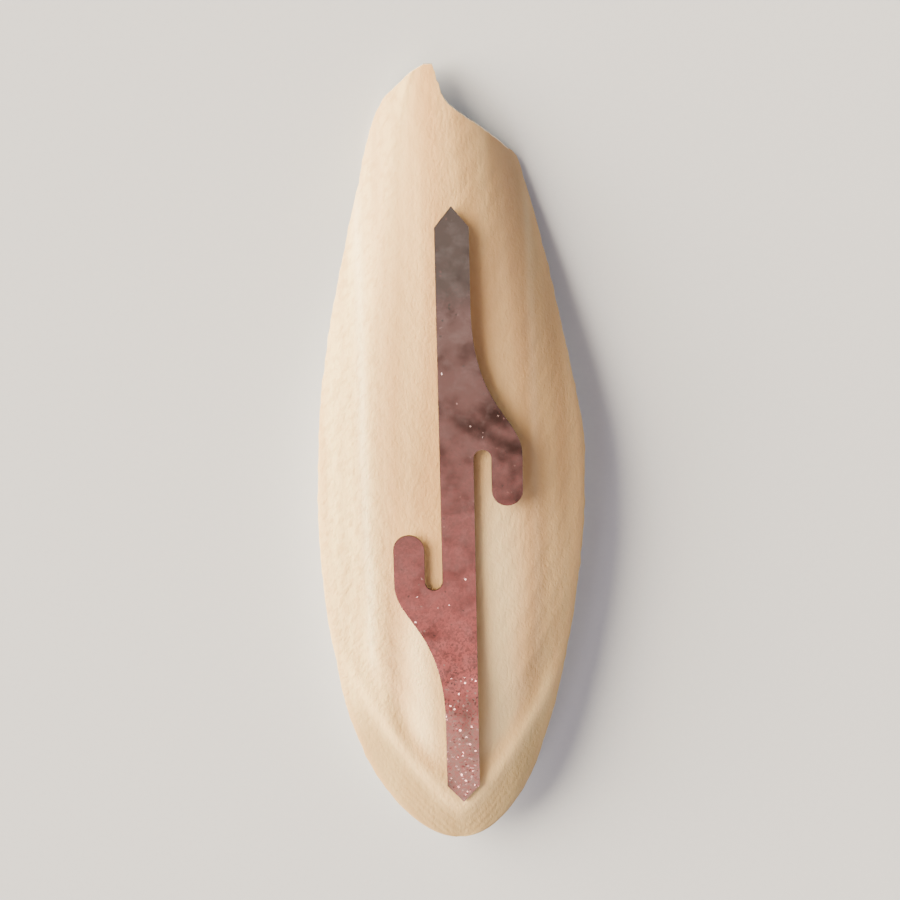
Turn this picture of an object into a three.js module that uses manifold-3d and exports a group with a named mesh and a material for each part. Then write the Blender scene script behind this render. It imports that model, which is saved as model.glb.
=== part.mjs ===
// Cuttlebone with its holder clip.
//
// A dried cuttlebone lies hard side up on the worn bulge of its belly, with a flat sheet-metal clip along
// its back. Units are millimetres. +X is across the bone, +Y towards its narrow hind end, and +Z up. The
// origin is on the resting surface, below the middle of the bone.
import * as THREE from 'three';
import { mergeVertices } from 'three/addons/utils/BufferGeometryUtils.js';
import Module from 'manifold-3d';

// ---- the bone's driving dimensions ----
const LENGTH = 127;
const HALF_WIDTH = 21.25;
const WIDEST_Y = -7;             // where the bone is widest, a little in front of its middle
const HIND_REACH = 74;           // from there to where the hind end would close if it were whole
const HIND_TAPER = 1.5;          // power of the hind flanks: 2 is an ellipse, less is straighter
const FRONT_NOSE = 0.1;          // how far the ellipse of the front end runs past the blunt nose
const MARGIN = 1.2;              // thickness of the thin margin all round
const WORN_EDGE = 0.5;           // thickness left where the margin ends
const BACK_ROUND = 2.2;          // powers of the cross-section: the back
const BELLY_ROUND = 2.6;         // and the fuller belly
const EDGE_ROUND = 24;           // how late the margin thins to its edge

// heights along the bone, as [y, z]: its margin, the top of its back and the middle of its belly
const MARGIN_LINE = [[-63.5, 6.9], [-40, 7.7], [-10, 8.1], [15, 6.4], [35, 3.2], [52, 0.95], [67, 2.4]];
const BACK_LINE = [[-63.5, 7.3], [-56, 9.7], [-40, 12], [-20, 13.1], [-2, 13.2], [20, 12.6], [40, 10.4],
  [54, 7.3], [67, 3.4]];
const BELLY_LINE = [[-63.5, 6.5], [-56, 3.7], [-42, 1.4], [-20, 0.1], [1, 0.1], [12, 0.9], [23, 2.4],
  [38, 4.6], [52, 4.7], [67, 2]];
const RESTING_FLAT = 0.2;        // the belly is worn flat this deep where the bone lies on it

// how far each side strays from the even oval, as [y, x]: the front end sways a little to the left
const LEFT_STRAY = [[-63.5, 0], [-48, -0.9], [-30, -0.4], [-4, -0.1], [14, -0.3], [40, 0.6], [56, 0],
  [67, 0]];
const RIGHT_STRAY = [[-63.5, 0], [-54, -0.5], [-42, -1], [-26, -0.85], [-14, -0.2], [-3, 0.5], [7, 1],
  [16, 0.35], [27, -0.15], [42, -0.5], [67, -0.4]];

// the broken hind end, as [y, x]: a horn is left on one side, and the other shoulder is scooped away
const HORN_EDGE = [[56, -9.6], [58.5, -8], [60, -6.5], [61.8, -4.6], [63.5, -1.9]];
const SCOOP_EDGE = [[47.5, 12.6], [49.5, 10.9], [51.5, 8.9], [54.3, 5.3], [57.6, 1.2], [60.5, -0.1],
  [63.5, -0.9]];

const STEPS_ALONG = 60;
const STEPS_ACROSS = 22;

// ---- the clip's driving dimensions ----
const CLIP_X = 0.9;              // its middle, just off the bone's own line
const CLIP_Y = -6.75;
const CLIP_TURN = THREE.MathUtils.degToRad(-0.37);
const CLIP_GAP = 0.3;            // between the top of the back and the clip
const SHEET = 0.5;
const CLIP_HALF_LENGTH = 49;
const SHAFT_HALF = 2.65;
const POINT_LENGTH = 3.2;
const HOOK_OUTER = 10.3;         // from the clip's line to the outside of a hook
const HOOK_ARM = 4.9;            // width of a hook's arm, which ends in a half round
const HOOK_END = 4.7;            // height at which that half round begins
const SLOT_END = 10;             // height at which the round end of the slot begins
const FLANK_FOOT = 10.3;         // where a hook's straight outer side meets its curved flank
const FLANK_FOOT_PULL = 6.1;
const FLANK_HEAD = 33.9;         // where the flank leaves the shaft
const FLANK_HEAD_PULL = 16.1;
const FLAT_HALF = 27;            // the middle of the clip is flat this far each way
const BEND_RUN = 10;             // length of the soft bend beyond it
const FRONT_BEND = THREE.MathUtils.degToRad(12.3);
const HIND_BEND = THREE.MathUtils.degToRad(9.8);

// a smooth curve through [place, value] stations, read at one place
function along(stations, place) {
  let i = 0;
  while (i < stations.length - 2 && place > stations[i + 1][0]) i += 1;
  const [x0, y0] = stations[i];
  const [x1, y1] = stations[i + 1];
  const span = x1 - x0;
  const slope = (a, b) => (stations[b][1] - stations[a][1]) / (stations[b][0] - stations[a][0]);
  const m0 = slope(Math.max(i - 1, 0), i + 1) * span;
  const m1 = slope(i, Math.min(i + 2, stations.length - 1)) * span;
  const t = (place - x0) / span;
  return y0 + t * (m0 + t * (3 * (y1 - y0) - 2 * m0 - m1 + t * (m0 + m1 - 2 * (y1 - y0))));
}

// half the bone's width as it grew
function halfWidth(y) {
  if (y < WIDEST_Y) {
    const run = (WIDEST_Y - y) / (WIDEST_Y + LENGTH / 2 + FRONT_NOSE);
    return HALF_WIDTH * Math.sqrt(1 - run ** 2);
  }
  const run = (y - WIDEST_Y) / HIND_REACH;
  return HALF_WIDTH * Math.sqrt(1 - run ** HIND_TAPER);
}

// the bone's two sides at y as it grew
function grownSides(y) {
  return [along(LEFT_STRAY, y) - halfWidth(y), halfWidth(y) + along(RIGHT_STRAY, y)];
}

// the bone's two sides at y, after the break
function sides(y) {
  const [grownLeft, grownRight] = grownSides(y);
  const left = y > HORN_EDGE[0][0] ? Math.max(grownLeft, along(HORN_EDGE, y)) : grownLeft;
  const right = y > SCOOP_EDGE[0][0] ? Math.min(grownRight, along(SCOOP_EDGE, y)) : grownRight;
  return [left, right];
}

// height of the back (side 1) or the belly (side -1) at a point of the bone
function surfaceHeight(x, y, side) {
  const [left, right] = grownSides(y);
  const out = Math.min(1, x / (x < 0 ? left : right));
  const edge = Math.sqrt(1 - out ** EDGE_ROUND);
  const margin = along(MARGIN_LINE, y);
  const middle = along(side > 0 ? BACK_LINE : BELLY_LINE, y);
  const rise = middle - (margin + side * MARGIN / 2);
  const round = 1 - out ** (side > 0 ? BACK_ROUND : BELLY_ROUND);
  return margin + side * (WORN_EDGE + (MARGIN - WORN_EDGE) * edge) / 2 + rise * round;
}

// the bone, as a box whose top becomes the back and whose bottom becomes the belly
function cuttlebone() {
  const geometry = new THREE.BoxGeometry(2, 2, 2, STEPS_ACROSS, STEPS_ALONG, 1);
  geometry.deleteAttribute('normal');
  geometry.deleteAttribute('uv');
  const place = geometry.getAttribute('position');
  for (let i = 0; i < place.count; i += 1) {
    const y = LENGTH / 2 * Math.sin(place.getY(i) * Math.PI / 2);
    const [left, right] = sides(y);
    const x = THREE.MathUtils.lerp(left, right, 0.5 + 0.5 * Math.sin(place.getX(i) * Math.PI / 2));
    place.setXYZ(i, x, y, surfaceHeight(x, y, place.getZ(i)));
  }
  const solid = mergeVertices(geometry, 1e-4);
  solid.computeBoundingBox();
  const { min, max } = solid.boundingBox;
  const floor = min.z + RESTING_FLAT;
  const point = solid.getAttribute('position');
  for (let i = 0; i < point.count; i += 1) point.setZ(i, Math.max(point.getZ(i), floor));
  solid.translate(-(min.x + max.x) / 2, 0, -floor);
  solid.computeVertexNormals();
  return solid;
}

// one long side of the clip, from point to point: down past the hook that it carries
function clipSide() {
  const side = new THREE.Path();
  const armRound = HOOK_ARM / 2;
  const armInner = HOOK_OUTER - HOOK_ARM;
  const slotRound = (armInner - SHAFT_HALF) / 2;
  side.moveTo(0, CLIP_HALF_LENGTH);
  side.lineTo(SHAFT_HALF, CLIP_HALF_LENGTH - POINT_LENGTH);
  side.lineTo(SHAFT_HALF, FLANK_HEAD);
  side.bezierCurveTo(SHAFT_HALF, FLANK_HEAD - FLANK_HEAD_PULL, HOOK_OUTER, FLANK_FOOT + FLANK_FOOT_PULL,
    HOOK_OUTER, FLANK_FOOT);
  side.lineTo(HOOK_OUTER, HOOK_END);
  side.absarc(HOOK_OUTER - armRound, HOOK_END, armRound, 0, -Math.PI, true);
  side.lineTo(armInner, SLOT_END);
  side.absarc(SHAFT_HALF + slotRound, SLOT_END, slotRound, 0, Math.PI, false);
  side.lineTo(SHAFT_HALF, POINT_LENGTH - CLIP_HALF_LENGTH);
  return side.getPoints(16);
}

// height of the bent sheet at a distance along the clip
function sheetHeight(distance) {
  const past = Math.abs(distance) - FLAT_HALF;
  if (past <= 0) return 0;
  const fall = Math.tan(distance < 0 ? FRONT_BEND : HIND_BEND);
  return past < BEND_RUN ? -fall * past ** 2 / (2 * BEND_RUN) : -fall * (past - BEND_RUN / 2);
}

// a strip of sheet seen from its side, wider than the clip
function bentSheet() {
  const reach = CLIP_HALF_LENGTH + 2;
  const stations = [-reach, reach];
  for (let i = 0; i <= 4; i += 1) {
    const bend = FLAT_HALF + BEND_RUN * i / 4;
    stations.push(-bend, bend);
  }
  stations.sort((a, b) => a - b);
  const under = stations.map((y) => new THREE.Vector2(y, sheetHeight(y)));
  const over = stations.map((y) => new THREE.Vector2(y, sheetHeight(y) + SHEET)).reverse();
  const width = 4 * HOOK_OUTER;
  const geometry = new THREE.ExtrudeGeometry(new THREE.Shape([...under, ...over]),
    { depth: width, bevelEnabled: false });
  geometry.translate(0, 0, -width / 2);
  const alongY = new THREE.Vector3(0, 1, 0);
  const alongZ = new THREE.Vector3(0, 0, 1);
  const alongX = new THREE.Vector3(1, 0, 0);
  return geometry.applyMatrix4(new THREE.Matrix4().makeBasis(alongY, alongZ, alongX));
}

// the clip's outline as a tall prism: both long sides are the same, turned half round
function clipBlank() {
  const side = clipSide();
  const outline = [...side, ...side.map((p) => p.clone().negate())];
  const height = CLIP_HALF_LENGTH;
  const geometry = new THREE.ExtrudeGeometry(new THREE.Shape(outline.reverse()),
    { depth: height, bevelEnabled: false });
  return geometry.translate(0, 0, -height / 2);
}

const wasm = await Module();
wasm.setup();

function toSolid(geometry) {
  geometry.deleteAttribute('normal');
  geometry.deleteAttribute('uv');
  const merged = mergeVertices(geometry, 1e-4);
  return new wasm.Manifold(new wasm.Mesh({
    numProp: 3,
    vertProperties: merged.getAttribute('position').array,
    triVerts: new Uint32Array(merged.index.array),
  }));
}

function toGeometry(solid) {
  const mesh = solid.getMesh();
  const geometry = new THREE.BufferGeometry();
  geometry.setAttribute('position', new THREE.BufferAttribute(mesh.vertProperties, 3));
  geometry.setIndex(new THREE.BufferAttribute(mesh.triVerts, 1));
  geometry.computeVertexNormals();
  return geometry;
}

// the clip, stamped to its outline out of the bent sheet
function holderClip() {
  return toGeometry(toSolid(bentSheet()).intersect(toSolid(clipBlank())));
}

function namedMesh(name, geometry, look) {
  const mesh = new THREE.Mesh(geometry, new THREE.MeshStandardMaterial(look));
  mesh.name = name;
  return mesh;
}

const bone = namedMesh('cuttlebone', cuttlebone(), { color: 0xe6d3bb, roughness: 0.85, metalness: 0 });
bone.geometry.computeBoundingBox();
const clip = namedMesh('holder_clip', holderClip(), { color: 0xb9a8a3, roughness: 0.25, metalness: 1 });
clip.position.set(CLIP_X, CLIP_Y, bone.geometry.boundingBox.max.z + CLIP_GAP);
clip.rotation.z = CLIP_TURN;

const part = new THREE.Group();
part.add(bone, clip);
export default part;
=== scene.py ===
import math

import bmesh
import bpy
from mathutils import Matrix, Quaternion, Vector, noise


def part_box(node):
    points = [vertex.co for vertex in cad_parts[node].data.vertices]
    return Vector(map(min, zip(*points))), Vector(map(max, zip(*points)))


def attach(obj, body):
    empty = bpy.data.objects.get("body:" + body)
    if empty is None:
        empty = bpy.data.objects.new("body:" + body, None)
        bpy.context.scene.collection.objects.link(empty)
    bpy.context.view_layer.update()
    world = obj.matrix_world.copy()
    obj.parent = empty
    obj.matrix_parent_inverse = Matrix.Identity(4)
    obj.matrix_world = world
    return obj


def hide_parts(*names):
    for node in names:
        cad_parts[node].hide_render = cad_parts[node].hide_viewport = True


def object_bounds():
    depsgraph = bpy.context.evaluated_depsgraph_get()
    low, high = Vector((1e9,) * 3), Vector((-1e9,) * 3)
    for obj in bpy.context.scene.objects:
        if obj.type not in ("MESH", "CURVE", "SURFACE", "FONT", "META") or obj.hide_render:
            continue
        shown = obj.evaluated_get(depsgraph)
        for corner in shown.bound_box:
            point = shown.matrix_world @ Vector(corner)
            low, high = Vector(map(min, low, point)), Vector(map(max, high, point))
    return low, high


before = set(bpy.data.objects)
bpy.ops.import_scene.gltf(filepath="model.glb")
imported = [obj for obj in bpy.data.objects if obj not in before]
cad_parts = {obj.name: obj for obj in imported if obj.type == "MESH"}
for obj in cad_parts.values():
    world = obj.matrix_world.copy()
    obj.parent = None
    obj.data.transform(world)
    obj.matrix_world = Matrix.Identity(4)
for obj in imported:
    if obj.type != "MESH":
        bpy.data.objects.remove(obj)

# Looks of a cuttlebone and its holder clip. The bone lies hard side up with its narrow hind end towards +Y,
# and the clip lies along its back. Shapes are worked out in millimetres and placed in metres.

CAD_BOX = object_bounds()
MM = 0.001
BONE_LOW, BONE_HIGH = (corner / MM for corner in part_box("cuttlebone"))
CLIP_LOW, CLIP_HIGH = (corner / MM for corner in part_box("holder_clip"))

# ---- the bone's form ----
EDGE_BULGE = 0.2             # the worn edge is rounded outwards by this much
HALF_LENGTH = (BONE_HIGH.y - BONE_LOW.y) / 2 - EDGE_BULGE
HALF_WIDTH = 21.25 - EDGE_BULGE
WIDEST_Y = -7
HIND_REACH = 74              # from the widest place to where the whole hind end would close
HIND_TAPER = 1.5
FRONT_NOSE = 0.04
MARGIN = 1.2                 # thickness of the thin margin all round
WORN_EDGE = 0.5              # and what is left of it at its very edge
BACK_ROUND = 2.2
BELLY_ROUND = 2.6
EDGE_ROUND = 24

# heights along the bone, as (y, z): its margin, the top of its back and the middle of its belly
MARGIN_LINE = ((-63.5, 6.9), (-40, 7.7), (-10, 8.1), (15, 6.4), (35, 3.2), (52, 0.95), (67, 2.4))
BACK_LINE = ((-63.5, 7.3), (-56, 9.7), (-40, 12), (-20, 13.1), (-2, 13.2), (20, 12.6), (40, 10.4),
             (54, 7.3), (67, 3.4))
BELLY_LINE = ((-63.5, 6.5), (-56, 3.7), (-42, 1.4), (-20, 0.1), (1, 0.1), (12, 0.9), (23, 2.4),
              (38, 4.6), (52, 4.7), (67, 2))
RESTING_FLAT = 0.2           # the belly is worn flat this deep where the bone lies on it

# how far each side strays from the even oval, as (y, x)
LEFT_STRAY = ((-63.5, 0), (-48, -0.9), (-30, -0.4), (-4, -0.1), (14, -0.3), (40, 0.6), (56, 0), (67, 0))
RIGHT_STRAY = ((-63.5, 0), (-54, -0.5), (-42, -1), (-26, -0.85), (-14, -0.2), (-3, 0.5), (7, 1),
               (16, 0.35), (27, -0.15), (42, -0.5), (67, -0.4))

# the broken hind end, as (y, x)
HORN_EDGE = ((56, -9.6), (58.5, -8), (60, -6.5), (61.8, -4.6), (63.5, -1.9))
SCOOP_EDGE = ((47.5, 12.6), (49.5, 10.9), (51.5, 8.9), (54.3, 5.3), (57.6, 1.2), (60.5, -0.1), (63.5, -0.9))

# the V-shaped growth crest of the front end: its point, and how far back its arms run at how far out
CREST_X, CREST_Y = 0.4, -57
CREST_ARMS, CREST_REACH, CREST_CURVE = 19.6, 14.7, 1.25

ROWS_ALONG = 390
COLUMNS_ACROSS = 114
EDGE_STEPS = 6
SIDE_RIBS = 13.4             # a low rib runs along each side, this far from the middle
RIGHT_FORMS = 0.35           # ribs and furrows are this high on the right, where they are 1 on the left
ZONES = ("flank", "tan", "furrow", "rib", "crest", "apron", "lobe_highlight", "belly", "rim", "torn")

# ---- the clip's form: places are measured from its middle, out across it or along it ----
SHEET = 0.5                  # thickness of the tinned sheet
SPARE = 0.01                 # kept free under the top of the CAD box
CLIP_HALF_LENGTH = 49
CLIP_TURN = math.radians(-0.37)   # it lies a little askew
SHAFT_HALF = 2.65
POINT_LENGTH = 3.2
HOOK_OUTER = 10.3
HOOK_ARM = 4.9               # width of a hook
HOOK_END = 4.7               # where its rounded end begins
SLOT_END = 10                # where the slot's rounded end begins
FLANK_FOOT, FLANK_FOOT_PULL = 10.3, 6.1    # the sweep from the hook to the shaft, and how stiffly
FLANK_HEAD, FLANK_HEAD_PULL = 33.9, 16.1   # it leaves each of them
FLAT_HALF = 27               # beyond this the two ends bend down
BEND_RUN = 10
FRONT_BEND = math.radians(12.3)
HIND_BEND = math.radians(9.8)
CLIP_RIPPLE = 0.05
CUT_EDGE_ROUND = 0.07

# ---- the tin coat's patterns, in mm across ----
ROLLING_LINES = (0.25, 9)    # across and along; real ones are finer, and are coarsened so that they show
DENTS = 4
CRYSTALS = 0.3
SMUDGES = 4
MOTTLES = 2.2
BAND_SLANT, BAND_PLACE, BAND_HALF = 0.5, 10, 3.5   # a band of painted dark reflection crosses over the hind hook

# ---- the studio ----
FLOOR_HALF = 12              # metres
PAPER_FIBRES = 0.9

# ---- where the camera stands ----
VIEW_DISTANCE = 330          # from the middle of the object
VIEW_TILT = math.radians(14)  # from straight above, towards the hind end
VIEW_ROLL = math.radians(-1.7)
VIEW_AHEAD = 3               # it aims this far towards the hind end
FRAME_HEIGHT = 143           # of the field seen at that distance


# ---------------------------------------------------------------- shared sums

def along(stations, place):
    """A smooth curve through (place, value) stations, read at one place."""
    i = 0
    while i < len(stations) - 2 and place > stations[i + 1][0]:
        i += 1
    (x0, y0), (x1, y1) = stations[i], stations[i + 1]
    before, after = stations[max(i - 1, 0)], stations[min(i + 2, len(stations) - 1)]
    span = x1 - x0
    m0 = (y1 - before[1]) / (x1 - before[0]) * span
    m1 = (after[1] - y0) / (after[0] - x0) * span
    t = (place - x0) / span
    return y0 + t * (m0 + t * (3 * (y1 - y0) - 2 * m0 - m1 + t * (m0 + m1 - 2 * (y1 - y0))))


def lerp(a, b, t):
    return a + (b - a) * t


def ease(low, high, value):
    """0 below low, 1 above high, and smooth between them."""
    t = min(1, max(0, (value - low) / (high - low)))
    return t * t * (3 - 2 * t)


def hump(value, half):
    """1 at 0, fading to nothing over a few times half."""
    return math.exp(-(value / half) ** 2)


def wander(x, y, size, seed=0):
    """Smooth noise between about -1 and 1, whose lumps are size across and are others for each seed."""
    return noise.noise(Vector((x / size, y / size, seed)))


# ---------------------------------------------------------------- the bone

def half_width(y):
    if y < WIDEST_Y:
        closed = ((WIDEST_Y - y) / (WIDEST_Y + HALF_LENGTH + FRONT_NOSE)) ** 2
    else:
        closed = ((y - WIDEST_Y) / HIND_REACH) ** HIND_TAPER
    return HALF_WIDTH * math.sqrt(max(1e-6, 1 - closed))


def grown_sides(y):
    return along(LEFT_STRAY, y) - half_width(y), half_width(y) + along(RIGHT_STRAY, y)


def outwards(x, y):
    """0 along the middle of the bone and 1 at its grown edge."""
    left, right = grown_sides(y)
    return min(1, x / (left if x < 0 else right))


def nibble(y, seed):
    """How far the thin margin is chipped and worn in at y."""
    worn = 0.12 + 0.16 * wander(0, y, 7, seed) + 0.13 * wander(0, y, 1.7, seed + 5)
    return max(0, worn) * min(1, half_width(y) / 8)


def sides(y):
    """The bone's two sides at y, after the break and the wear."""
    left, right = grown_sides(y)
    left += nibble(y, 1)
    right -= nibble(y, 2)
    if y > HORN_EDGE[0][0]:
        left = max(left, along(HORN_EDGE, y) + 0.15 * wander(0, y, 1.1, 7))
    if y > SCOOP_EDGE[0][0]:
        torn = 0.25 * wander(0, y, 1.6, 3) + 0.12 * wander(0, y, 0.6, 4)
        right = min(right, along(SCOOP_EDGE, y) + torn)
    return left, max(right, left + 0.7)


def crest_distance(x, y):
    """How far behind the growth crest of the front end a point is."""
    return y - CREST_Y - CREST_ARMS * (abs(x - CREST_X) / CREST_REACH) ** CREST_CURVE


def back_relief(x, y):
    """The low forms of the hard back: its ribs and furrows, the front crest, growth lines and fine grain."""
    out = outwards(x, y)
    crest = crest_distance(x, y)
    front = ease(10, -40, y)
    behind = ease(-2, 6, crest)
    around = out * HALF_WIDTH * math.copysign(1, x)
    sided = behind * lerp(1, RIGHT_FORMS, ease(-2, 2, x))
    rib = 0.2 * hump(x, 7.5)
    side_ribs = 0.16 * hump(abs(around) - SIDE_RIBS, 1.7) * sided
    furrows = -0.5 * front * sided * hump(abs(x) - 9.4 - 0.02 * y, 2.3)
    ridge = 0.3 * hump(crest, 2.3) - 0.3 * hump(crest - 6, 3.4) * front
    lines = 0.014 * math.sin(crest * 3.9 + 2 * wander(x, y, 6)) * ease(2, -2, crest)
    arches = 0.02 * math.sin(crest * 1.25 + 2.5 * wander(x, y, 14, 8)) * behind
    ribbing = 0.04 * wander(around, y * 0.04, 3.6, 12) + 0.012 * wander(around, y * 0.06, 1.4, 11)
    swell = 0.15 * wander(x, y, 17, 13) + 0.03 * wander(x, y, 5, 14)
    flank = ease(0.4, 0.9, out) * behind
    grain = 0.014 * flank * wander(0.85 * abs(x) + 0.53 * y, 0.5 * (0.85 * y - 0.53 * abs(x)), 0.8, 15)
    return rib + (side_ribs + furrows + ridge + lines + arches + ribbing + swell + grain) * (1 - out ** 6)


def belly_relief(x, y):
    """The soft side: arched growth steps behind a smooth front, a middle groove and a plain rim."""
    out = outwards(x, y)
    arch = y - 26 * out ** 2.6
    grown = ease(-34, -30, arch + 0.8 * wander(x, y, 9, 21))
    steps = (arch + 0.7 * wander(x, y, 6, 22)) / 1.5
    terrace = 0.16 * (steps - math.floor(steps) - 0.5) * grown
    groove = 0.45 * hump(x, 2.6) * grown * ease(58, 40, y)
    front_step = 0.35 * grown
    rim = ease(0.86, 0.93, out)
    return -(terrace - groove - front_step * (1 - out ** 2)) * (1 - rim) + 0.05 * wander(x, y, 4, 23)


def surface_height(x, y, side):
    """Height of the back (side 1) or the belly (side -1) at a point of the bone."""
    out = outwards(x, y)
    edge = math.sqrt(1 - out ** EDGE_ROUND)
    margin = along(MARGIN_LINE, y)
    middle = along(BACK_LINE if side > 0 else BELLY_LINE, y)
    rise = middle - (margin + side * MARGIN / 2)
    rounded = 1 - out ** (BACK_ROUND if side > 0 else BELLY_ROUND)
    plain = margin + side * (WORN_EDGE + (MARGIN - WORN_EDGE) * edge) / 2 + rise * rounded
    return plain + (back_relief(x, y) if side > 0 else belly_relief(x, y))


def bone_grid(side):
    """Rows of points over the back or the belly, from front to hind end."""
    rows = []
    for i in range(ROWS_ALONG):
        t = 2 * i / (ROWS_ALONG - 1) - 1
        y = HALF_LENGTH * lerp(t, math.sin(t * math.pi / 2), 0.8)
        left, right = sides(y)
        row = []
        for j in range(COLUMNS_ACROSS):
            s = 2 * j / (COLUMNS_ACROSS - 1) - 1
            x = lerp(left, right, 0.5 + 0.5 * lerp(s, math.sin(s * math.pi / 2), 0.5))
            row.append(Vector((x, y, surface_height(x, y, side))))
        rows.append(row)
    return rows


def rim_loop():
    """The (row, column) places round the edge of a grid, with the outside on the right hand."""
    last_row, last_column = ROWS_ALONG - 1, COLUMNS_ACROSS - 1
    front = [(0, j) for j in range(last_column)]
    right = [(i, last_column) for i in range(last_row)]
    hind = [(last_row, j) for j in range(last_column, 0, -1)]
    left = [(i, 0) for i in range(last_row, 0, -1)]
    return front + right + hind + left


def broken(x, y):
    """1 where the edge is the fresh break of the hind end, and 0 on the grown margin."""
    left, right = grown_sides(y)
    return ease(0.7, 1.6, min(x - left, right - x)) * ease(44, 48, y)


def middling(belly):
    """The move that brings the bone to the middle of its CAD box, with its worn belly on the floor of it."""
    reach = [grown_sides(y) for y in range(-20, 20)]
    across = (min(left for left, _ in reach) + max(right for _, right in reach)) / 2
    worn = min(p.z for row in belly for p in row) + RESTING_FLAT
    return Vector(((BONE_LOW.x + BONE_HIGH.x) / 2 - across, 0, BONE_LOW.z - worn))


def outward_at(rows, loop, n):
    """The level direction out of the bone at one place of its rim loop."""
    ahead, astern = loop[(n + 1) % len(loop)], loop[n - 1]
    run = rows[ahead[0]][ahead[1]] - rows[astern[0]][astern[1]]
    return Vector((run.y, -run.x, 0)).normalized()


def edge_point(high, low, outward, n, step):
    """A point of the edge, some steps down from the back towards the belly: rounded, or layered if torn."""
    t = step / EDGE_STEPS
    torn = broken(high.x, high.y)
    bulge = EDGE_BULGE * math.sqrt(1 - (2 * t - 1) ** 2) * (1 - torn)
    layers = torn * (0.28 * wander(n * 0.35, t * 9, 1, 31) - 0.25 * (step % 2) - 0.5 * t)
    return high.lerp(low, t) + outward * (bulge + layers)


def cuttlebone():
    """The whole bone: two fine grids joined by a rounded edge, which is layered where it is broken."""
    form = bmesh.new()
    back, belly = bone_grid(1), bone_grid(-1)
    move = middling(belly)
    for row in belly:
        for p in row:
            p.z = max(p.z, BONE_LOW.z - move.z)
    top = [[form.verts.new((p + move) * MM) for p in row] for row in back]
    under = [[form.verts.new((p + move) * MM) for p in row] for row in belly]
    for i in range(ROWS_ALONG - 1):
        for j in range(COLUMNS_ACROSS - 1):
            form.faces.new((top[i][j], top[i][j + 1], top[i + 1][j + 1], top[i + 1][j]))
            form.faces.new((under[i][j], under[i + 1][j], under[i + 1][j + 1], under[i][j + 1]))
    loop = rim_loop()
    walls = []
    for n, (i, j) in enumerate(loop):
        outward = outward_at(back, loop, n)
        wall = [top[i][j]]
        for step in range(1, EDGE_STEPS):
            p = edge_point(back[i][j], belly[i][j], outward, n, step)
            wall.append(form.verts.new((p + move) * MM))
        wall.append(under[i][j])
        walls.append(wall)
    for n, wall in enumerate(walls):
        after = walls[(n + 1) % len(walls)]
        for k in range(EDGE_STEPS):
            form.faces.new((wall[k], wall[k + 1], after[k + 1], after[k]))
    bone = mesh_piece(form, "cuttlebone_dried")
    paint_places(bone, move)
    return bone


def zone_shares(x, y, facing):
    """How far a point belongs to each zone of the bone. Facing runs from -1 below to 1 above."""
    out = outwards(x, y)
    behind = crest_distance(x, y)
    left = ease(3, -5, x)
    upper = float(facing > 0.2)
    sway = x + 0.9 * wander(x, y, 12, 52)
    # two painted highlights towards the front, where the surface beside the middle rib faces the light, with
    # a pinkish trough outside each that is also darkened as painted shade, and a faint tan darkening behind
    # the left one
    lobe_highlight = max(hump(sway + 5.6, 2.6) * ease(-5, -32, y), hump(sway - 7.2, 3.2) * ease(12, -14, y))
    trough_tint_and_shade = hump(abs(sway) - 10.2, 2.2) * lerp(0.6, 1, ease(-20, -34, y))
    left_middle_darkening = 0.5 * hump(sway + 6.5, 3.5) * ease(-12, 2, y) * upper
    # painted highlight on the left flank, which faces the light, as far as the front end, and painted shade
    # on the right one, browner towards it
    lit_left_highlight = left * max(ease(-2, 6, behind), ease(-47, -35, y))
    right_shade = (1 - left) * lerp(0.76, 1, ease(5, -25, y))
    # painted highlight: a pale line along each side rib, stronger on the left, which faces the light
    rib = hump(abs(x + 0.3 * wander(x, y, 12, 52)) - SIDE_RIBS, 0.8)
    return {
        "flank": ease(0.35, 0.75, out) * lit_left_highlight,
        "tan": ease(0.4, 0.95, out) * right_shade + left_middle_darkening,
        "furrow": trough_tint_and_shade * ease(2, 9, behind) * lerp(0.7, 1, left) * upper,
        "rib": rib * ease(3, 12, behind) * lerp(0.2, 1, left) * upper,
        "crest": hump(behind + 0.9 * wander(x, y, 5, 51), 2.6) * ease(1, 0.8, out) * upper,
        "apron": ease(1, -3, behind) * (1 - 0.8 * ease(-46, -34, y)) * upper,
        "lobe_highlight": lobe_highlight * ease(2, 7, behind) * upper,
        "belly": ease(0.3, -0.4, facing),
        "rim": ease(0.9, 1, out),
        "torn": broken(x, y) * float(facing < 0.6),
    }


def paint_places(bone, move):
    """Marks each point with its share of each zone, for the chalk's colours."""
    mesh = bone.data
    for zone in ZONES:
        mesh.attributes.new(zone, "FLOAT", "POINT")
    marks = {zone: mesh.attributes[zone].data for zone in ZONES}
    for vertex in mesh.vertices:
        x, y, _ = vertex.co / MM - move
        for zone, share in zone_shares(x, y, vertex.normal.z).items():
            marks[zone][vertex.index].value = share


# ---------------------------------------------------------------- the clip

def arc(centre_x, centre_y, radius, start, end, steps=14):
    """Points on an arc, whose start and end are given in half turns."""
    angles = [math.pi * lerp(start, end, k / steps) for k in range(steps + 1)]
    return [(centre_x + radius * math.cos(a), centre_y + radius * math.sin(a)) for a in angles]


def bezier(p0, p1, p2, p3, steps=24):
    """Points on a cubic curve, without its two ends."""
    points = []
    for k in range(1, steps):
        t = k / steps
        a, b, c, d = (1 - t) ** 3, 3 * (1 - t) ** 2 * t, 3 * (1 - t) * t * t, t ** 3
        points.append(tuple(a * q0 + b * q1 + c * q2 + d * q3 for q0, q1, q2, q3 in zip(p0, p1, p2, p3)))
    return points


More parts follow.
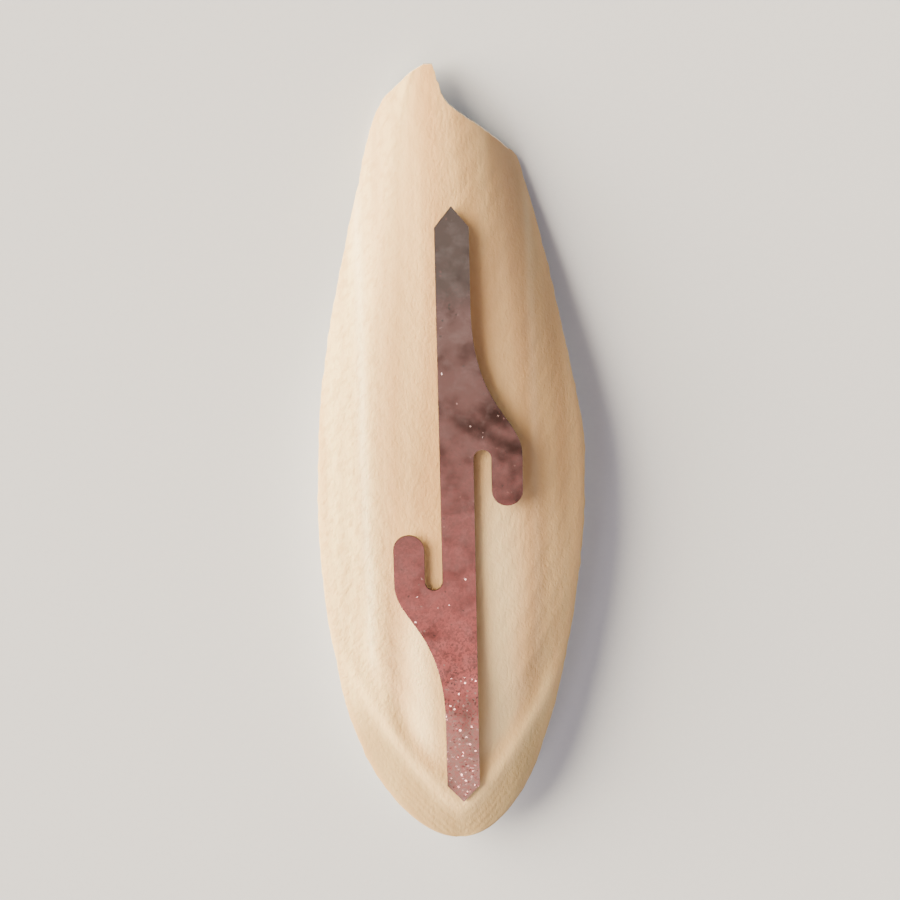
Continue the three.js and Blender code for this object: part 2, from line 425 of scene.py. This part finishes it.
def clip_side():
    """One long side of the clip, from point to point, down past the hook that it carries."""
    arm_round = HOOK_ARM / 2
    slot_round = (HOOK_OUTER - HOOK_ARM - SHAFT_HALF) / 2
    flank = bezier((SHAFT_HALF, FLANK_HEAD), (SHAFT_HALF, FLANK_HEAD - FLANK_HEAD_PULL),
                   (HOOK_OUTER, FLANK_FOOT + FLANK_FOOT_PULL), (HOOK_OUTER, FLANK_FOOT))
    hook_end = arc(HOOK_OUTER - arm_round, HOOK_END, arm_round, 0, -1)
    slot_end = arc(SHAFT_HALF + slot_round, SLOT_END, slot_round, 0, 1)
    points = [(0, CLIP_HALF_LENGTH), (SHAFT_HALF, CLIP_HALF_LENGTH - POINT_LENGTH), (SHAFT_HALF, FLANK_HEAD)]
    return points + flank + [(HOOK_OUTER, FLANK_FOOT)] + hook_end + slot_end + [
        (SHAFT_HALF, POINT_LENGTH - CLIP_HALF_LENGTH)]


def sheet_height(distance):
    """Height of the bent sheet at a distance along the clip."""
    past = abs(distance) - FLAT_HALF
    if past <= 0:
        return 0
    fall = math.tan(FRONT_BEND if distance < 0 else HIND_BEND)
    return -fall * past ** 2 / (2 * BEND_RUN) if past < BEND_RUN else -fall * (past - BEND_RUN / 2)


def holder_clip():
    """The stamped clip: its outline filled, cut across so that it can bend, bent and thickened."""
    form = bmesh.new()
    side = clip_side()
    outline = side + [(-x, -y) for x, y in side]
    form.faces.new([form.verts.new((x, y, 0)) for x, y in reversed(outline)])
    for k in range(-CLIP_HALF_LENGTH, CLIP_HALF_LENGTH + 1):
        everything = form.verts[:] + form.edges[:] + form.faces[:]
        bmesh.ops.bisect_plane(form, geom=everything, plane_co=(0, k, 0), plane_no=(0, 1, 0), dist=1e-5)
    middle = (CLIP_LOW + CLIP_HIGH) / 2
    turn = Matrix.Rotation(CLIP_TURN, 3, "Z")
    for vertex in form.verts:
        x, y, _ = vertex.co
        ripple = CLIP_RIPPLE * wander(x, y, 9, 41) * ease(4, 12, abs(y))
        place = turn @ Vector((x, y, 0))
        height = CLIP_HIGH.z - SHEET - SPARE + sheet_height(y) + min(0, ripple)
        vertex.co = Vector((middle.x + place.x, middle.y + place.y, height)) * MM
    bmesh.ops.recalc_face_normals(form, faces=form.faces[:])
    if form.faces[:][0].normal.z < 0:
        bmesh.ops.reverse_faces(form, faces=form.faces[:])
    clip = mesh_piece(form, "holder_clip_stamped")
    thick = clip.modifiers.new("sheet", "SOLIDIFY")
    thick.thickness = SHEET * MM
    thick.offset = 1
    eased = clip.modifiers.new("stamped edge", "BEVEL")
    eased.width = CUT_EDGE_ROUND * MM
    eased.segments = 2
    eased.limit_method = "ANGLE"
    eased.angle_limit = math.radians(50)
    clip.modifiers.new("flat faces", "WEIGHTED_NORMAL").weight = 90
    return clip


# ---------------------------------------------------------------- making objects and materials

def mesh_piece(form, name):
    """Turns a bmesh into a smooth-shaded object in the scene."""
    for face in form.faces:
        face.smooth = True
    form.normal_update()
    mesh = bpy.data.meshes.new(name)
    form.to_mesh(mesh)
    form.free()
    piece = bpy.data.objects.new(name, mesh)
    bpy.context.scene.collection.objects.link(piece)
    return piece


def linear(code):
    """An sRGB hex colour as linear light, with alpha."""
    parts = [int(code[k:k + 2], 16) / 255 for k in (1, 3, 5)]
    return tuple(v / 12.92 if v <= 0.04045 else ((v + 0.055) / 1.055) ** 2.4 for v in parts) + (1,)


def add(tree, kind, inputs=None, **settings):
    """Adds a node, sets it, and links or sets its inputs."""
    made = tree.nodes.new("ShaderNode" + kind)
    for key, value in settings.items():
        setattr(made, key, value)
    for key, value in (inputs or {}).items():
        if isinstance(value, bpy.types.NodeSocket):
            tree.links.new(value, made.inputs[key])
        else:
            made.inputs[key].default_value = value
    return made.outputs


def new_material(name):
    material = bpy.data.materials.new(name)
    material.use_nodes = True
    material.node_tree.nodes.clear()
    return material, material.node_tree


# a colour mix's inputs and its result
FACTOR, FIRST, SECOND, MIXED = 0, 6, 7, 2

# the chalk's patterns: width across and length along the bone in mm, turn in degrees, detail, and the part
# of the noise that is spread over 0 to 1. Its real grain is under 0.3 mm, coarsened here so that it shows.
CHALK_PATTERNS = {
    "bands": (5.5, 75, 0, 1, 0.36, 0.64),
    "streaks": (1.5, 38, 0, 2, 0.4, 0.7),
    "grains": (0.7, 1.7, 0, 3, 0.42, 0.66),
    "clouds": (13, 22, 0, 2, 0.36, 0.68),
    "strokes": (0.8, 1.8, 32, 2, 0.44, 0.68),
    "powder": (0.5, 0.7, 0, 3, 0.3, 0.7),
}


def cuttlebone_chalk():
    """Aragonite, grown in thin layers and dried: a matt chalky cream, faintly pink, with no shine."""
    material, tree = new_material("cuttlebone_chalk")
    place = add(tree, "TexCoord")["Object"]
    # both flanks are alike, so the oblique strokes are mirrored across the middle
    parts = add(tree, "SeparateXYZ", {"Vector": place})
    across = add(tree, "Math", {0: parts["X"]}, operation="ABSOLUTE")[0]
    mirrored = add(tree, "CombineXYZ", {"X": across, "Y": parts["Y"], "Z": parts["Z"]})["Vector"]
    shares = {}
    for name, (width, length, turn, detail, low, high) in CHALK_PATTERNS.items():
        laid = add(tree, "Mapping", {"Vector": mirrored if turn else place,
                                     "Rotation": (0, 0, math.radians(turn)),
                                     "Scale": (width * MM, length * MM, length * MM)},
                   vector_type="TEXTURE")["Vector"]
        cloud = add(tree, "TexNoise", {"Vector": laid, "Scale": 1, "Detail": detail,
                                       "Roughness": 0.55})["Fac"]
        shares[name] = add(tree, "MapRange", {"Value": cloud, "From Min": low, "From Max": high},
                           interpolation_type="SMOOTHSTEP")["Result"]
    for zone in ZONES:
        shares[zone] = add(tree, "Attribute", attribute_name=zone)["Fac"]
    shares["strokes"] = add(tree, "Math", {0: shares["strokes"], 1: shares["flank"]},
                            operation="MULTIPLY")[0]

    # the layers of colour, from the ground up: where, how much and which
    colour = linear("#cdaa7c")
    for name, amount, code in (
            ("clouds", 0.55, "#c39873"),      # pinkish tan stain
            ("flank", 0.97, "#fff1bd"),       # painted highlight: the left flank, facing the light, is painted cream
            ("tan", 1, "#907b60"),            # painted shade browns the right flank; this also holds the tan darkening behind the left highlight
            ("bands", 0.5, "#ecd3a2"),        # broad creamy bands along the back
            ("streaks", 0.3, "#ba9772"),
            ("grains", 0.14, "#bb9a70"),
            ("furrow", 0.4, "#c49f82"),       # pinkish along the furrows, and darker there as painted shade
            # painted highlight along the side ribs
            ("rib", 0.75, "#fff4d2"),
            ("strokes", 0.25, "#b08759"),     # oblique grain of the flanks
            ("apron", 0.65, "#ab9d79"),       # smooth, greyish front end
            ("crest", 0.6, "#f4dfb0"),
            # painted highlight where the sides of the middle rib face the light
            ("lobe_highlight", 0.8, "#f9e8c0"),
            ("belly", 0.85, "#f3e9d6"),       # the soft side is whiter
            ("rim", 0.3, "#cfa878"),          # and the margin horny
            ("torn", 0.85, "#f5ecdc")):       # the break shows fresh chalk
        share = add(tree, "Math", {0: shares[name], 1: amount}, operation="MULTIPLY")[0]
        colour = add(tree, "Mix", {FACTOR: share, FIRST: colour, SECOND: linear(code)},
                     data_type="RGBA")[MIXED]

    rubbed = add(tree, "Math", {0: shares["powder"], 1: 0.7, 2: shares["strokes"]},
                 operation="MULTIPLY_ADD")[0]
    relief = add(tree, "Math", {0: shares["grains"], 1: -0.6, 2: rubbed}, operation="MULTIPLY_ADD")[0]
    bumped = add(tree, "Bump", {"Height": relief, "Strength": 0.5, "Distance": 0.08 * MM})["Normal"]
    rough = add(tree, "MapRange", {"Value": shares["powder"], "To Min": 0.74, "To Max": 0.9})["Result"]
    shader = add(tree, "BsdfPrincipled", {
        "Base Color": colour, "Roughness": rough, "Normal": bumped, "IOR": 1.53,
        "Subsurface Weight": 0.1, "Subsurface Radius": (1.0, 0.55, 0.35), "Subsurface Scale": 1.2 * MM})
    add(tree, "OutputMaterial", {"Surface": shader[0]})
    return material


def leaning_crystals(tree, place, lengthwise, wavy):
    """Flat crystals in the coat, each leaning its own way: hardly at all at the hind end and more towards
    the front point, where many stand up far enough for a few to spark."""
    crystal = add(tree, "TexVoronoi", {"Vector": place, "Scale": 1 / (CRYSTALS * MM)})["Color"]
    offset = add(tree, "VectorMath", {0: crystal, 1: (0.5, 0.5, 0.5)}, operation="SUBTRACT")["Vector"]
    level = add(tree, "VectorMath", {0: offset, 1: (1, 1, 0)}, operation="MULTIPLY")["Vector"]
    lean = add(tree, "VectorMath", {0: level}, operation="NORMALIZE")["Vector"]
    coarse = add(tree, "MapRange", {"Value": lengthwise, "From Min": -20 * MM, "From Max": -46 * MM,
                                    "To Min": 0.01, "To Max": 0.09})["Result"]
    common = add(tree, "MapRange", {"Value": lengthwise, "From Min": -29 * MM, "From Max": -36 * MM,
                                    "To Min": 0.99, "To Max": 0.84})["Result"]
    lot = add(tree, "SeparateColor", {"Color": crystal})[2]
    upright = add(tree, "Math", {0: lot, 1: common}, operation="GREATER_THAN")[0]
    steep = add(tree, "Math", {0: upright, 1: 0.23, 2: coarse}, operation="MULTIPLY_ADD")[0]
    leaning = add(tree, "VectorMath", {0: lean, 1: steep, 2: wavy}, operation="MULTIPLY_ADD")["Vector"]
    return add(tree, "VectorMath", {0: leaning}, operation="NORMALIZE")["Vector"]


def tin_tone_with_reflections(tree, place, parts):
    """The coat's colour: grey behind and a painted rosy reflection in front, darkened by smudges and by
    painted dark reflections over the hind hook, and mottled with paler patches.
    """
    lengthwise = parts["Y"]
    # painted reflection: the coat is painted rosy towards the front and grey behind
    rosy_reflection = add(tree, "MapRange", {"Value": lengthwise, "From Min": 28 * MM, "From Max": -30 * MM})["Result"]
    coat_with_rosy_reflection = add(tree, "Mix", {FACTOR: rosy_reflection, FIRST: linear("#cfc3bf"), SECOND: linear("#f4b8b4")},
                data_type="RGBA")[MIXED]
    # the darkening is thickest on the hind hook and in the slanting band over it, where it is painted dark
    # reflection over the smudges
    slanted = add(tree, "VectorMath", {0: place, 1: (BAND_SLANT / MM, 1 / MM, 0)},
                  operation="DOT_PRODUCT")["Value"]
    aside = add(tree, "Math", {0: slanted, 1: BAND_PLACE}, operation="SUBTRACT")[0]
    off = add(tree, "Math", {0: aside}, operation="ABSOLUTE")[0]
    band = add(tree, "MapRange", {"Value": off, "From Min": BAND_HALF, "From Max": 0, "To Max": 0.32},
               interpolation_type="SMOOTHSTEP")["Result"]
    hook = add(tree, "MapRange", {"Value": parts["X"], "From Min": 3.5 * MM, "From Max": 6 * MM,
                                  "To Max": 0.18})["Result"]
    dark_reflection_share = add(tree, "Math", {0: band, 1: hook}, operation="MAXIMUM")[0]
    smudges = add(tree, "TexNoise", {"Vector": place, "Scale": 1 / (SMUDGES * MM), "Detail": 1.8})["Fac"]
    smudges_and_dark_reflection = add(tree, "Math", {0: smudges, 1: dark_reflection_share}, operation="ADD")[0]
    darkened_share = add(tree, "MapRange", {"Value": smudges_and_dark_reflection, "From Min": 0.45, "From Max": 0.95, "To Max": 0.9},
               interpolation_type="SMOOTHSTEP")["Result"]
    # painted dark reflection and smudges, in a dark brownish grey
    smudged_and_reflected = add(tree, "Mix", {FACTOR: darkened_share, FIRST: coat_with_rosy_reflection, SECOND: linear("#685a53")},
                  data_type="RGBA")[MIXED]
    hind = add(tree, "MapRange", {"Value": lengthwise, "From Min": 5 * MM, "From Max": 26 * MM,
                                  "To Min": 0.2, "To Max": 0.6})["Result"]
    mottles = add(tree, "TexNoise", {"Vector": place, "Scale": 1 / (MOTTLES * MM), "Detail": 4,
                                     "Distortion": 0.25})["Fac"]
    bright = add(tree, "MapRange", {"Value": mottles, "From Min": 0.42, "From Max": 0.74, "To Max": hind},
                 interpolation_type="SMOOTHSTEP")["Result"]
    return add(tree, "Mix", {FACTOR: bright, FIRST: smudged_and_reflected, SECOND: linear("#f4ecea")},
               data_type="RGBA")[MIXED]


def bright_tinplate():
    """Cold-rolled steel with a thin tin coat: a slightly wavy mirror, with a few bright crystals."""
    material, tree = new_material("bright_tinplate")
    place = add(tree, "TexCoord")["Object"]
    parts = add(tree, "SeparateXYZ", {"Vector": place})
    # rolling lines run along the strip, over shallow dents
    across, along_it = ROLLING_LINES
    laid = add(tree, "Mapping", {"Vector": place, "Scale": (across * MM, along_it * MM, MM)},
               vector_type="TEXTURE")["Vector"]
    rolled = add(tree, "TexNoise", {"Vector": laid, "Scale": 1, "Detail": 3})["Fac"]
    dents = add(tree, "TexNoise", {"Vector": place, "Scale": 1 / (DENTS * MM), "Detail": 1})["Fac"]
    height = add(tree, "Math", {0: rolled, 1: 0.15, 2: dents}, operation="MULTIPLY_ADD")[0]
    wavy = add(tree, "Bump", {"Height": height, "Strength": 0.5, "Distance": 0.08 * MM})["Normal"]
    # stamping leaves the cut edges bare, where the steel is darker and duller
    facing = add(tree, "SeparateXYZ", {"Vector": add(tree, "NewGeometry")["True Normal"]})["Z"]
    bare = add(tree, "MapRange", {"Value": facing, "From Min": 0.95, "From Max": 0.8})["Result"]
    tone = add(tree, "Mix", {FACTOR: bare, FIRST: tin_tone_with_reflections(tree, place, parts),
                             SECOND: linear("#6b5751")}, data_type="RGBA")[MIXED]
    rough = add(tree, "MapRange", {"Value": bare, "To Min": 0.2, "To Max": 0.5})["Result"]
    shader = add(tree, "BsdfPrincipled", {
        "Base Color": tone, "Metallic": 1.0, "Roughness": rough,
        "Normal": leaning_crystals(tree, place, parts["Y"], wavy)})
    add(tree, "OutputMaterial", {"Surface": shader[0]})
    return material


def pale_paper():
    """Matt seamless paper under the bone."""
    material, tree = new_material("pale_paper")
    place = add(tree, "TexCoord")["Object"]
    fibres = add(tree, "TexNoise", {"Vector": place, "Scale": 1 / (PAPER_FIBRES * MM), "Detail": 2})["Fac"]
    tone = add(tree, "Mix", {FACTOR: fibres, FIRST: linear("#c9d8f2"), SECOND: linear("#cfddf5")},
               data_type="RGBA")[MIXED]
    shader = add(tree, "BsdfPrincipled", {"Base Color": tone, "Roughness": 0.9})
    add(tree, "OutputMaterial", {"Surface": shader[0]})
    return material


# ---------------------------------------------------------------- the studio

def studio_floor():
    form = bmesh.new()
    bmesh.ops.create_grid(form, x_segments=1, y_segments=1, size=FLOOR_HALF)
    floor = mesh_piece(form, "studio_floor")
    floor.location.z = CAD_BOX[0].z
    floor.data.materials.append(pale_paper())


def even_light(name, towards, spread, strength, colour, mirrored):
    """Even light from one direction, spread degrees wide, which bright metal may mirror or not."""
    lamp = bpy.data.lights.new(name, "SUN")
    lamp.angle = math.radians(spread)
    lamp.energy = strength
    lamp.color = linear(colour)[:3]
    stand = bpy.data.objects.new(name, lamp)
    stand.visible_glossy = mirrored
    stand.rotation_euler = Vector(towards).to_track_quat("Z", "Y").to_euler()
    bpy.context.scene.collection.objects.link(stand)


# the air overhead, from behind the hind end (0) to in front of the bone (1)
DUSK = ((0, "#8f857c"), (0.07, "#8f857c"), (0.13, "#b48f88"), (0.3, "#ba998f"), (0.51, "#968279"),
        (0.555, "#ffaeaa"), (0.64, "#f4a49b"), (0.8, "#ecb2a7"), (1, "#ded4c2"))


def studio_air():
    """Soft warm surroundings: dusky overhead, rosy a little towards the front and pale lower down."""
    world = bpy.data.worlds.new("studio_air")
    world.use_nodes = True
    tree = world.node_tree
    tree.nodes.clear()
    towards = add(tree, "TexCoord")["Generated"]
    parts = add(tree, "SeparateXYZ", {"Vector": towards})
    ahead = add(tree, "MapRange", {"Value": parts["Y"], "From Min": 0.2, "From Max": -0.75})["Result"]
    lower = add(tree, "MapRange", {"Value": parts["Z"], "From Min": 0.3, "From Max": 0.15},
                interpolation_type="SMOOTHSTEP")["Result"]
    over = add(tree, "ValToRGB", {"Fac": ahead})
    ramp = over["Color"].node.color_ramp
    ramp.elements[0].color = linear(DUSK[0][1])
    ramp.elements[1].color = linear(DUSK[-1][1])
    for position, code in DUSK[1:-1]:
        stop = ramp.elements.new(position)
        stop.color = linear(code)
    # that light is a strip along the middle, with dusk on both sides of it
    off = add(tree, "Math", {0: parts["X"]}, operation="ABSOLUTE")[0]
    beside = add(tree, "MapRange", {"Value": off, "From Min": 0.35, "From Max": 0.7},
                 interpolation_type="SMOOTHSTEP")["Result"]
    sky = add(tree, "Mix", {FACTOR: beside, FIRST: over["Color"], SECOND: linear("#5a4f49")},
              data_type="RGBA")[MIXED]
    # down near the floor the air is as bright as the lit paper, so that the two meet without an edge
    haze = add(tree, "Mix", {FACTOR: lower, FIRST: sky, SECOND: (1.9, 1.8, 1.65, 1)},
               data_type="RGBA")[MIXED]
    glow = add(tree, "Background", {"Color": haze, "Strength": 1.0})
    add(tree, "OutputWorld", {"Surface": glow[0]})
    bpy.context.scene.world = world


def studio_camera():
    """Looks down on the bone from a little towards its hind end, with that end at the top."""
    low, high = CAD_BOX
    middle = (low + high) / 2 + Vector((0, VIEW_AHEAD * MM, 0))
    away = Vector((0, math.sin(VIEW_TILT), math.cos(VIEW_TILT)))
    camera = bpy.data.objects.new("camera", bpy.data.cameras.new("camera"))
    camera.data.sensor_width = 36
    camera.data.lens = camera.data.sensor_width * VIEW_DISTANCE / FRAME_HEIGHT
    camera.data.clip_start = 0.01
    camera.location = middle + away * VIEW_DISTANCE * MM
    right = Vector((1, 0, 0))
    up = away.cross(right)
    stance = Matrix((right, up, away)).transposed().to_quaternion()
    camera.rotation_mode = "QUATERNION"
    camera.rotation_quaternion = Quaternion(away, VIEW_ROLL) @ stance
    bpy.context.scene.collection.objects.link(camera)
    bpy.context.scene.camera = camera


# ---------------------------------------------------------------- putting it together

bone = cuttlebone()
bone.data.materials.append(cuttlebone_chalk())
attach(bone, "root")
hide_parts("cuttlebone")

clip = holder_clip()
clip.data.materials.append(bright_tinplate())
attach(clip, "root")
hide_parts("holder_clip")

studio_floor()
studio_air()
even_light("key_light", (-0.88, 0.31, 0.34), 65, 23, "#ffe3b8", False)
even_light("fill_light", (0.75, -0.4, 0.75), 60, 0.15, "#ffe3b8", False)
even_light("glint_light", (-0.45, -0.5, 0.74), 16, 0.5, "#fff2e6", True)
studio_camera()
